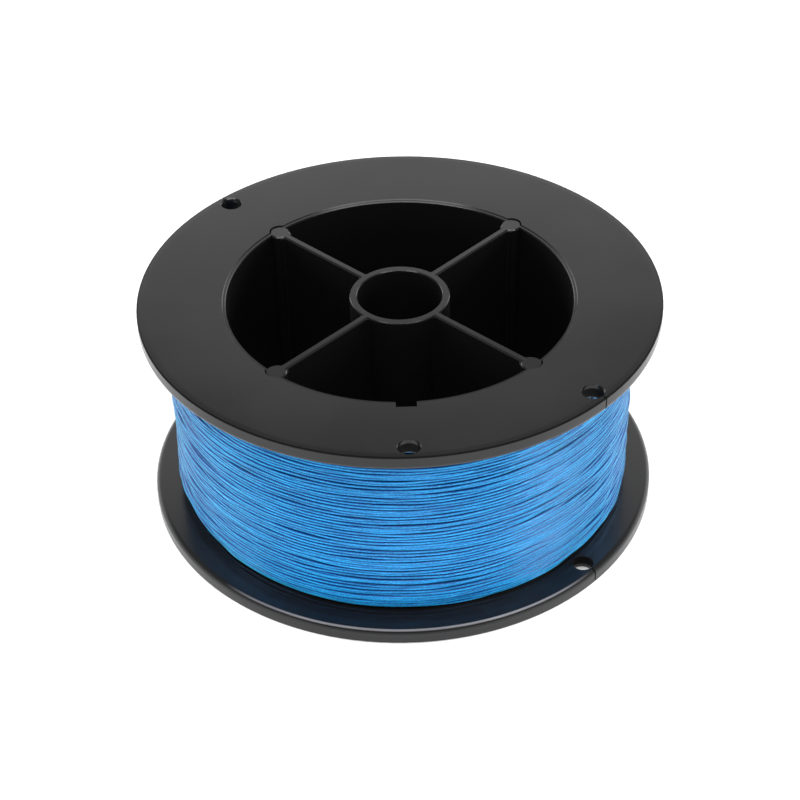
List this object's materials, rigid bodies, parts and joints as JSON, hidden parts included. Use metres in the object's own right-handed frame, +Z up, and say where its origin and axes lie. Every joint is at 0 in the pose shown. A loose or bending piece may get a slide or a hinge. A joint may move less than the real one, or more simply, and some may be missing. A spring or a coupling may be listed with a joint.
{
  "type": "fishing line spool",
  "caption": "Black moulded bulk spool with flat round flanges, a webbed hub with a central bore, and blue braided line wound between the flanges.",
  "frame": {"origin": "centre of the bore at the lower flange's outer face, which the spool stands on", "axes": "+Z up along the bore; -Y towards the drive notch in the upper flange"},
  "size_m": [0.125, 0.125, 0.0555],
  "materials": {
    "core_plastic": "satin moulded black",
    "flange_plastic": "satin moulded black",
    "braided_line": "fine bright braid"
  },
  "bodies": {
    "root": {"core": "core_plastic", "upper_flange": "flange_plastic", "lower_flange": "flange_plastic", "line_pack": "braided_line", "line_outer_layer": "braided_line"}
  },
  "joints": []
}
